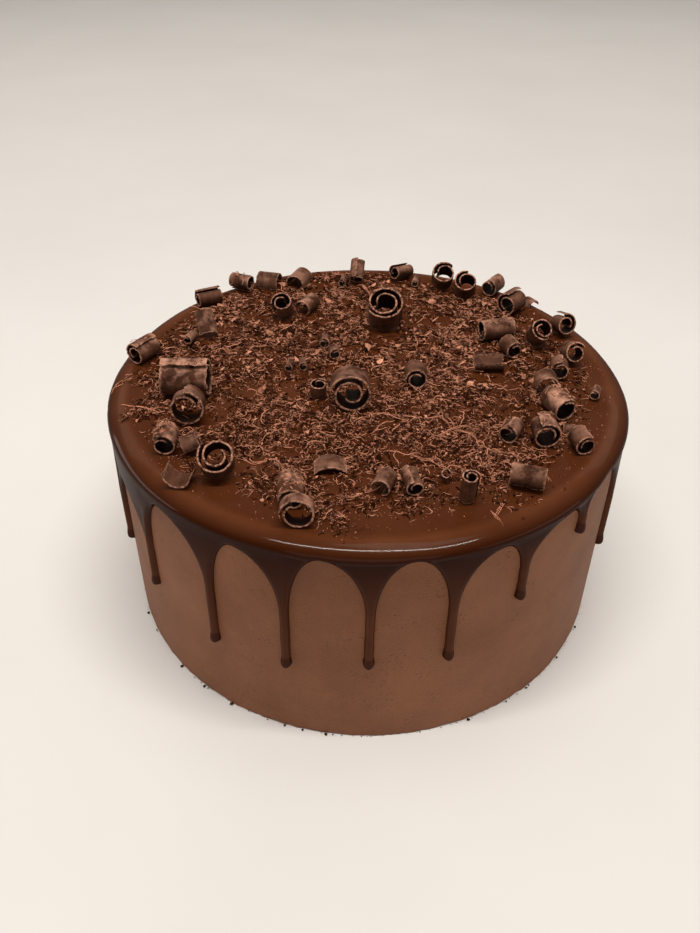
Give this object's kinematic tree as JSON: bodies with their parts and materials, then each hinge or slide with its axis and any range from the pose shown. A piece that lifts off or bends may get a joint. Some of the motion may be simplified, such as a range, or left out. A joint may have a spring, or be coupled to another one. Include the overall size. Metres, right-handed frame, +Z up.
{
  "type": "chocolate drip cake",
  "caption": "Round tall cake with a smooth cocoa buttercream side, a glossy dark glaze that runs down in rounded drips, and chocolate curls and fine shavings on top",
  "frame": {"origin": "centre of the flat base, on the surface that the cake stands on", "axes": "+Z up through the middle of the round cake; -Y is the front as pictured, and +X is the viewer's right"},
  "size_m": [0.2151, 0.2155, 0.1169],
  "materials": {
    "buttercream": "matt, finely pitted cocoa buttercream",
    "glaze": "glossy set dark chocolate glaze with fine shavings",
    "curls": "satin shaved chocolate with paler cut edges"
  },
  "bodies": {
    "root": {"cake_body": "buttercream", "ganache_glaze": "glaze", "curl_west_rim": "curls", "curl_west_wide": "curls", "curl_west_small": "curls", "curl_west_ring": "curls", "shell_southwest": "curls", "curl_southwest_roll": "curls", "curl_southwest_narrow": "curls", "curl_southwest_coil": "curls", "curl_northwest_roll": "curls", "shell_northwest_tile": "curls", "curl_northwest_barrel": "curls", "shell_north_dome": "curls", "shell_north_arch": "curls", "curl_north_west": "curls", "curl_north_west_flap": "curls", "curl_north_upright": "curls", "curl_north_small": "curls", "curl_north_east": "curls", "curl_north_east_small": "curls", "curl_feature": "curls", "curl_northeast_ring_a": "curls", "curl_northeast_ring_b": "curls", "curl_northeast_roll_a": "curls", "curl_northeast_roll_b": "curls", "shell_northeast_shard": "curls", "curl_east_inner_roll": "curls", "curl_east_inner_lean": "curls", "shell_east_boat": "curls", "curl_east_ring_a": "curls", "curl_east_ring_b": "curls", "curl_east_ring_c": "curls", "curl_east_ring_d": "curls", "curl_east_open": "curls", "curl_east_tiny": "curls", "curl_east_crumpled": "curls", "shell_east_zigzag": "curls", "curl_southeast_large": "curls", "curl_southeast_back": "curls", "curl_southeast_ring": "curls", "curl_southeast_barrel": "curls", "curl_south_roll": "curls", "curl_south_ring": "curls", "shell_south_arch": "curls", "curl_south_shard": "curls", "curl_south_narrow": "curls", "curl_south_upright": "curls", "curl_centre_upright": "curls", "curl_centre_open": "curls", "curl_centre_ring": "curls", "curl_centre_small_a": "curls", "curl_centre_small_b": "curls", "curl_centre_pair_a": "curls", "curl_centre_pair_b": "curls", "curl_south_loop": "curls"}
  },
  "joints": []
}
